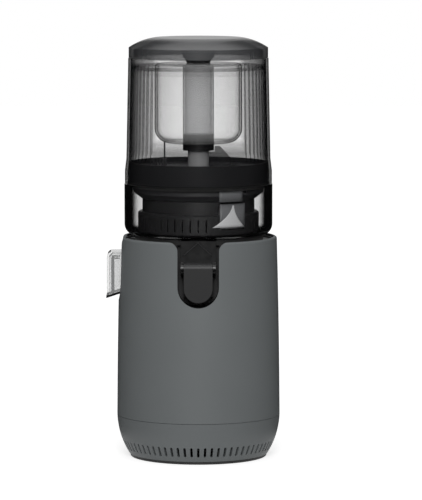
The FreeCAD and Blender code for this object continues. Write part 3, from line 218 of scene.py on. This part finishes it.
# Hobbed brass of the motor pinion.
hobbed_brass = turned_metal("brass_hobbed", "#cdb06a", "#a98a4a", 0.3, 0.3)

# Polycarbonate drum, 2.6 mm thick: clear on the flat, black where the wall is seen edge on. That
# black rim is painted: it stands in for the dark surroundings that the thick clear wall refracts
# at its edges.
drum_pc = clear_moulded(
    "drum_polycarbonate_clear", [(0, "#141415"), (1, "#040405")],
    [(0, 0.05), (0.3, 0.1), (0.47, 0.2), (0.56, 0.5), (0.64, 0.97), (1, 1.0)])
# Hopper wall of smoke-tinted copolyester: clear in the middle, denser towards its sides.
hopper_smoke = clear_moulded(
    "hopper_copolyester_smoke", [(0, "#1a1a1c"), (1, "#0c0c0e")],
    [(0, 0.04), (0.19, 0.08), (0.26, 0.25), (0.55, 0.4), (0.75, 0.66), (1, 0.97)],
    deep_below=(314.0, 0.3))
# Ribs of the same smoke copolyester, drawn far denser than their thickness gives: painted dark
# upright stripes that stand in for those the thick hopper wall's refraction makes.
rib_smoke_painted_stripes = clear_moulded(
    "rib_copolyester_smoke_painted_stripes", [(0, "#1a1a1c"), (1, "#0c0c0e")],
    [(0, 0.22), (0.6, 0.4), (1, 0.8)])
# Lid of darker smoke copolyester: nearly shut, with a soft grey top and a thin skirt.
lid_smoke = clear_moulded(
    "lid_copolyester_dark_smoke", [(0, "#4f5052"), (1, "#262628")],
    [(0, 0.62), (0.5, 0.75), (1, 0.93)], roughness=0.3, thin_below=(407.0, 0.09))
# Pulp spout of clear copolyester: pale, with painted dark edges that stand in for the dark
# surroundings refracted at the walls' edges.
spout_clear = clear_moulded(
    "pulp_spout_copolyester_clear", [(0, "#dcdddd"), (0.6, "#b0b1b2"), (1, "#1c1c1d")],
    [(0, 0.25), (0.6, 0.4), (0.9, 0.9), (1, 0.95)])
# Insert cup and its cap: clear with a faint milky haze, and dark only where seen edge on: a
# painted dark rim that stands in for the refracted dark surroundings.
cup_haze = clear_moulded(
    "insert_copolyester_hazy",
    [(0, "#ffffff"), (0.66, "#f4f4f4"), (0.82, "#1f1f20"), (1, "#161617")],
    [(0, 0.11), (0.5, 0.16), (0.7, 0.3), (0.86, 0.8), (1, 0.9)], roughness=0.15)
# Grey tinted tube down the middle of the cup.
tube_tint = clear_moulded(
    "insert_tube_grey_tint", [(0, "#b4b5b7"), (0.5, "#949597"), (0.85, "#343537"), (1, "#2a2b2c")],
    [(0, 0.34), (0.5, 0.4), (0.85, 0.85), (1, 0.9)], roughness=0.15)
# Smoke-grey translucent silicone of the lid's seal, which hardly shows in its groove.
seal_smoke = clear_moulded(
    "lid_seal_silicone_smoke", [(0, "#3a3a3b"), (1, "#2a2a2b")], [(0, 0.2), (1, 0.5)],
    roughness=0.5)
# Smoke-tinted feed blade.
blade_smoke = clear_moulded(
    "feed_blade_smoke_tint", [(0, "#2a2a2c"), (1, "#161617")],
    [(0, 0.5), (0.5, 0.6), (1, 0.9)], roughness=0.12)
# Grey silicone of the window's flap in the strainer wall.
window_grey = moulded("grey_silicone_flap", "#77787a", "#707173", 1.5, 0.03, 0.5)
# Pale silicone of the scraper leaf that lies against the window.
leaf_grey = moulded("pale_silicone_leaf", "#e0e1e2", "#d4d5d6", 1.5, 0.03, 0.45)

FINISHES = {
    grey_abs: ("body_shell", "base_skirt"),
    black_abs: ("bottom_cover", "top_deck", "switch_bezel", "cooling_fan", "lid_boss",
                "shaft_bush"),
    black_pc: ("rocker_switch",),
    spout_pc: ("juice_spout",),
    strainer_resin: ("outer_strainer",),
    foot_resin: ("hopper_base",),
    black_steel: ("cap_hinge_pin",),
    cap_abs: ("juice_cap",),
    silicone: ("base_pad", "shaft_seal", "cord_gland", "drum_gasket", "hub_packing",
               "juice_cap_seal", "hopper_seal"),
    seal_smoke: ("lid_seal",),
    auger_resin: ("auger",),
    post_resin: ("feed_rotor",),
    filled_nylon: ("gearbox_housing", "gearbox_cover"),
    board_mask: ("control_board",),
    ground_steel: ("lower_bearing", "upper_bearing", "gear_pin", "gearbox_screws",
                   "motor_can", "motor_end_cap", "motor_stator", "motor_lower_bearing",
                   "motor_upper_bearing", "output_gear", "drive_shaft", "compound_gear",
                   "motor_rotor", "auger_insert"),
    hobbed_brass: ("motor_pinion",),
    drum_pc: ("juice_drum",),
    spout_clear: ("pulp_spout",),
    hopper_smoke: ("hopper_wall",),
    lid_smoke: ("lid_cover",),
    cup_haze: ("insert_cup", "insert_cap"),
    tube_tint: ("insert_tube",),
    blade_smoke: ("feed_blade",),
}
for finish, names in FINISHES.items():
    for name in names:
        parts[name].data.materials.clear()
        parts[name].data.materials.append(finish)


# Fine pieces

def piece(name, mesh, material, body):
    """Puts a finished bmesh in the scene as a piece that rides on a body."""
    data = bpy.data.meshes.new(name)
    bmesh.ops.recalc_face_normals(mesh, faces=mesh.faces)
    mesh.to_mesh(data)
    mesh.free()
    item = bpy.data.objects.new(name, data)
    bpy.context.scene.collection.objects.link(item)
    data.materials.append(material)
    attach(item, body)
    return item


def loft(mesh, rings, closed=True):
    """Joins rings of points, each of the same count, into one skin."""
    made = [[mesh.verts.new(point) for point in ring] for ring in rings]
    for low, high in zip(made, made[1:]):
        for i in range(len(low)):
            j = (i + 1) % len(low)
            mesh.faces.new((low[i], low[j], high[j], high[i]))
    if closed:
        mesh.faces.new(list(reversed(made[0])))
        mesh.faces.new(made[-1])
    return made


def around(angle, radius, level):
    return Vector((radius * math.cos(angle), radius * math.sin(angle), level))


def hopper_ribs():
    """Slim upright ribs inside the hopper wall at both sides, which turn the produce."""
    foot, head, run_out = 304.0, 398.0, 3.0
    wall_reach, wall_height, taper, wall_thick, bite = 73.3, 102.6, 2.1, 2.6, 0.05
    depth, end_depth = 0.9, 0.15
    spacing, half = 5.2, math.radians(0.5)
    mesh = bmesh.new()
    for side in (0, 180):
        for step in range(-9, 10):
            middle = math.radians(side + step * spacing)
            rings = []
            for level in (foot, foot + run_out, head - run_out, head):
                share = (level - foot) / wall_height
                wall = (wall_reach - taper * share - wall_thick - bite) * MM
                proud = (end_depth if level in (foot, head) else depth) * MM
                rings.append([around(middle - half, wall, level * MM),
                              around(middle - half * 0.5, wall - proud, level * MM),
                              around(middle + half * 0.5, wall - proud, level * MM),
                              around(middle + half, wall, level * MM)])
            loft(mesh, rings)
    return piece("hopper_ribs", mesh, rib_smoke_painted_stripes, "hopper")


def bracket_webs():
    """Two ribs that spread like a Y on the spout bracket above the hinge roll."""
    front, fork, foot_level = -70.0, 224.5, 211.0
    half_width, depth, end_depth = 0.8, 1.3, 0.2
    mesh = bmesh.new()
    for side, foot in ((-1, 15.5), (1, 14.0)):
        start = Vector((0, front, fork)) * MM
        end = Vector((side * foot, front, foot_level)) * MM
        along = (end - start).normalized()
        across = Vector((along.z, 0, -along.x)) * half_width * MM
        rings = []
        for share in (0.0, 0.08, 0.92, 1.0):
            point = start.lerp(end, share)
            proud = Vector((0, -depth if 0 < share < 1 else -end_depth, 0)) * MM
            rings.append([point - across, point - across * 0.4 + proud,
                          point + across * 0.4 + proud, point + across])
        loft(mesh, rings)
    return piece("bracket_webs", mesh, cap_abs, "drum")


def pulp_lip():
    """A thin black lip round the lower rim of the pulp spout, which slopes up to the body."""
    outer_end, inner_end, level, rise = -93.2, -76.5, 163.0, 5.5
    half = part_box("pulp_spout")[1][1] / MM
    mesh = bmesh.new()
    rings = []
    for grow, drop in ((-0.6, 0.2), (0.5, -0.1), (0.5, 2.2), (-0.6, 2.4)):
        left, right, wide = outer_end - grow, inner_end + grow, half + grow
        ring = []
        for x, y in ((left, -wide), (right, -wide), (right, wide), (left, wide)):
            slope = level + rise * (x - outer_end) / (inner_end - outer_end)
            ring.append(Vector((x, y, slope + drop)) * MM)
        rings.append(ring)
    made = loft(mesh, rings, closed=False)
    for i in range(4):
        j = (i + 1) % 4
        mesh.faces.new((made[-1][i], made[-1][j], made[0][j], made[0][i]))
    return piece("pulp_spout_lip", mesh, black_pc, "drum")


def painted_pulp_edge_lines():
    """Dark strips inside the spout's front and back walls: painted dark lines that stand in for
    the walls seen edge on through the clear end, where they refract the dark surroundings."""
    inset, strip = 2.5, 0.3
    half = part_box("pulp_spout")[1][1] / MM - inset
    mesh = bmesh.new()
    for y in (-half - 0.22, half - 0.58):
        for left, right, low, high in ((-88.6, -86.0, 167.0, 204.0), (-86.0, -80.0, 202.6, 204.0)):
            rings = [[Vector((x, y + deep, z)) * MM
                      for x, z in ((left, low), (right, low), (right, high), (left, high))]
                     for deep in (0.0, strip)]
            loft(mesh, rings)
    return piece("pulp_spout_painted_edge_lines", mesh, black_pc, "drum")


def switch_marks():
    """The usual bar and ring on a mains rocker, moulded a little proud."""
    face, middle, offset, height = 84.95, 78.0, 6.5, 0.12
    bar_half_width, bar_half_length, edge = 0.5, 2.4, 0.08
    mesh = bmesh.new()
    bar = []
    for proud, grow in ((0.0, 0.0), (height, -edge)):
        wide, tall = bar_half_width + grow, bar_half_length + grow
        bar.append([Vector((x, face + proud, middle + offset + z)) * MM
                    for x, z in ((-wide, -tall), (wide, -tall), (wide, tall), (-wide, tall))])
    loft(mesh, bar)
    rings = []
    for radius, proud in ((2.6, 0.0), (2.5, height), (1.8, height), (1.7, 0.0)):
        rings.append([Vector((radius * math.cos(a), face + proud,
                              middle - offset + radius * math.sin(a))) * MM
                      for a in (2 * math.pi * i / 32 for i in range(32))])
    loft(mesh, rings, closed=False)
    return piece("switch_marks", mesh, post_resin, "rocker")


def curved_patch(name, rows, radius, thick, material, body):
    """A thin patch bent round the drive axis. Rows are (level, first and last turn in
    degrees from the front towards the right), in millimetres."""
    mesh = bmesh.new()
    steps = 10
    skins = []
    for reach in (radius * MM, (radius - thick) * MM):
        skin = []
        for level, first, last in rows:
            turns = [math.radians(-90 + first + (last - first) * i / steps)
                     for i in range(steps + 1)]
            skin.append([mesh.verts.new(around(turn, reach, level * MM)) for turn in turns])
        skins.append(skin)
    outer, inner = skins
    for skin in skins:
        for low, high in zip(skin, skin[1:]):
            for i in range(steps):
                mesh.faces.new((low[i], low[i + 1], high[i + 1], high[i]))
    for i in range(steps):
        mesh.faces.new((outer[0][i], inner[0][i], inner[0][i + 1], outer[0][i + 1]))
        mesh.faces.new((outer[-1][i], outer[-1][i + 1], inner[-1][i + 1], inner[-1][i]))
    for j in range(len(rows) - 1):
        for i in (0, steps):
            mesh.faces.new((outer[j][i], outer[j + 1][i], inner[j + 1][i], inner[j][i]))
    item = piece(name, mesh, material, body)
    for face in item.data.polygons:
        face.use_smooth = len(face.vertices) == 4
    return item


def window_pieces():
    """The grey flap in the strainer's window, the pale leaf on it, and the neck's pane."""
    window_first, window_last = 20.6, 49.4
    flap_radius, leaf_radius, neck_radius = 61.9, 62.4, 66.6
    curved_patch("window_flap", [(level, window_first, window_last) for level in (237.0, 262.0)],
                 flap_radius, 1.0, window_grey, "drum")
    leaf_foot, leaf_height, leaf_spread, tip_spread = 238.5, 22.0, 19.0, 0.9
    lean, lean_gain, levels = 33.0, 1.5, 8
    rows = []
    for i in range(levels + 1):
        share = i / levels
        spread = leaf_spread * (1 - share) ** 1.8 + tip_spread
        middle = lean + lean_gain * share
        rows.append((leaf_foot + leaf_height * share, middle - spread, middle + spread * 0.75))
    curved_patch("window_leaf", rows, leaf_radius, 0.45, leaf_grey, "drum")
    curved_patch("neck_pane", [(level, 18.6, 42.0) for level in (264.6, 278.6)],
                 neck_radius, 0.5, window_grey, "hopper")


hopper_ribs()
window_pieces()
bracket_webs()
pulp_lip()
painted_pulp_edge_lines()
switch_marks()


# Floor, light and camera

def shown_rays(tree):
    """1 for the rays that show a thing: to the camera, in gloss and through clear plastic."""
    rays = add(tree, "ShaderNodeLightPath")
    seen = rays.outputs["Is Camera Ray"]
    for name in ("Is Glossy Ray", "Is Transmission Ray"):
        seen = add(tree, "ShaderNodeMath", settings={"operation": "MAXIMUM"},
                   links={0: seen, 1: rays.outputs[name]}).outputs[0]
    return seen


def staged(name, mesh, material):
    """Puts a finished bmesh in the scene on its own, on no body; it serves the floor and cards
    round the juicer, which aren't part of it.
    """
    data = bpy.data.meshes.new(name)
    mesh.to_mesh(data)
    mesh.free()
    data.materials.append(material)
    item = bpy.data.objects.new(name, data)
    bpy.context.scene.collection.objects.link(item)
    return item


def paper_floor():
    """White seamless paper. It glows towards the eye only, so that it shows white, and a little
    less near the juicer: painted shade round its base, which lets the real shadow show there."""
    near, far, painted_shade_glow, far_glow = 0.1, 0.5, 0.72, 0.87
    floor_radius, floor_level, corners = 6.0, -0.0002, 64
    material = new_material("white_paper_sweep")
    place = add(material, "ShaderNodeTexCoord")
    fibre = add(material, "ShaderNodeTexNoise", sockets={"Scale": per_mm(3.0), "Detail": 2.0},
                links={"Vector": place.outputs["Object"]})
    tone = add(material, "ShaderNodeMix", settings={"data_type": "RGBA"},
               sockets={"A": linear("#c4c4c4"), "B": linear("#cccccc")},
               links={"Factor": fibre.outputs["Fac"]})
    reach = add(material, "ShaderNodeVectorMath", settings={"operation": "LENGTH"},
                links={0: place.outputs["Object"]})
    # Lower glow near the juicer: painted shade round its base, which deepens the real shadow
    # there.
    level = add(material, "ShaderNodeMapRange",
                sockets={"From Min": near, "From Max": far, "To Min": painted_shade_glow,
                         "To Max": far_glow},
                links={"Value": reach.outputs["Value"]})
    strength = add(material, "ShaderNodeMath", settings={"operation": "MULTIPLY"},
                   links={0: shown_rays(material), 1: level.outputs["Result"]})
    glow = add(material, "ShaderNodeEmission", links={"Strength": strength.outputs[0]})
    paper = add(material, "ShaderNodeBsdfDiffuse", links={"Color": tone.outputs["Result"]})
    both = add(material, "ShaderNodeAddShader",
               links={0: glow.outputs[0], 1: paper.outputs[0]})
    add(material, "ShaderNodeOutputMaterial", links={"Surface": both.outputs[0]})
    mesh = bmesh.new()
    rim = [around(2 * math.pi * i / corners, floor_radius, floor_level) for i in range(corners)]
    mesh.faces.new([mesh.verts.new(point) for point in rim])
    staged("floor", mesh, material)


def surroundings():
    """A plain white surround. It shows at full white and lights at a much lower level."""
    light_level, shown_level = 0.27, 1.0
    world = bpy.data.worlds.new("white_surround")
    bpy.context.scene.world = world
    world.use_nodes = True
    world.node_tree.nodes.clear()
    level = add(world, "ShaderNodeMapRange",
                sockets={"To Min": light_level, "To Max": shown_level},
                links={"Value": shown_rays(world)})
    sky = add(world, "ShaderNodeBackground", sockets={"Color": (1.0, 1.0, 1.0, 1.0)},
              links={"Strength": level.outputs["Result"]})
    add(world, "ShaderNodeOutputWorld", links={"Surface": sky.outputs[0]})


def dark_cards():
    """Black studio cards on and round the table, with a slit left open at the back. Only
    gloss mirrors them, so that rims and black plastic stay dark, and they shade nothing. The
    lamps stand inside them."""
    inner_reach, outer_reach, top, floor_gap = 0.13, 3.2, 3.4, 0.0001
    slit_end, span, steps = 96, 348, 48
    black = new_material("black_felt_card")
    place = add(black, "ShaderNodeTexCoord")
    nap = add(black, "ShaderNodeTexNoise", sockets={"Scale": per_mm(4.0)},
              links={"Vector": place.outputs["Object"]})
    tone = add(black, "ShaderNodeMix", settings={"data_type": "RGBA"},
               sockets={"A": linear("#161616"), "B": linear("#1e1e1e")},
               links={"Factor": nap.outputs["Fac"]})
    felt = add(black, "ShaderNodeBsdfDiffuse", links={"Color": tone.outputs["Result"]})
    add(black, "ShaderNodeOutputMaterial", links={"Surface": felt.outputs[0]})
    turns = [math.radians(slit_end + span * i / steps) for i in range(steps + 1)]
    rows = [[around(turn, reach, level) for turn in turns]
            for reach, level in ((inner_reach, floor_gap), (outer_reach, 0.0),
                                 (outer_reach, top))]
    mesh = bmesh.new()
    near, low, high = [[mesh.verts.new(point) for point in row] for row in rows]
    for i in range(steps):
        mesh.faces.new((low[i], low[i + 1], high[i + 1], high[i]))
        mesh.faces.new((near[i], near[i + 1], low[i + 1], low[i]))
    cards = staged("dark_cards", mesh, black)
    cards.visible_camera = cards.visible_diffuse = cards.visible_shadow = False
    cards.visible_transmission = False


def soft_box(name, place, size, power):
    """A rectangular lamp of that size in metres and power in watts, aimed at the body."""
    aim = Vector((0, 0, 0.2))
    light = bpy.data.lights.new(name, "AREA")
    light.shape = "RECTANGLE"
    light.size, light.size_y = size
    light.energy = power
    item = bpy.data.objects.new(name, light)
    item.location = place
    item.rotation_euler = (aim - Vector(place)).to_track_quat("-Z", "Y").to_euler()
    bpy.context.scene.collection.objects.link(item)


def camera():
    """A long lens in front and a little above, set so that the outline fits."""
    side, back, height, aim_level = 0.0128, -3.9, 0.59, 0.2105
    lens = bpy.data.cameras.new("camera")
    lens.sensor_fit = "HORIZONTAL"
    lens.sensor_width = 36.0
    lens.lens = 328.0
    lens.clip_start, lens.clip_end = 0.05, 40.0
    lens.dof.use_dof = False
    item = bpy.data.objects.new("camera", lens)
    item.location = (side, back, height)
    aim = Vector((side, 0.0, aim_level))
    item.rotation_euler = (aim - item.location).to_track_quat("-Z", "Y").to_euler()
    bpy.context.scene.collection.objects.link(item)
    bpy.context.scene.camera = item


paper_floor()
surroundings()
dark_cards()
soft_box("front_box", (0.0, -2.4, 1.4), (0.7, 1.2), 40.0)
soft_box("top_box", (0.0, 0.2, 1.9), (1.2, 1.2), 6.0)
camera()

# Several clear walls stand one behind another, so light may pass many of them.
bpy.context.scene.cycles.transparent_max_bounces = 32

view = bpy.context.scene.view_settings
view.view_transform = "Standard"
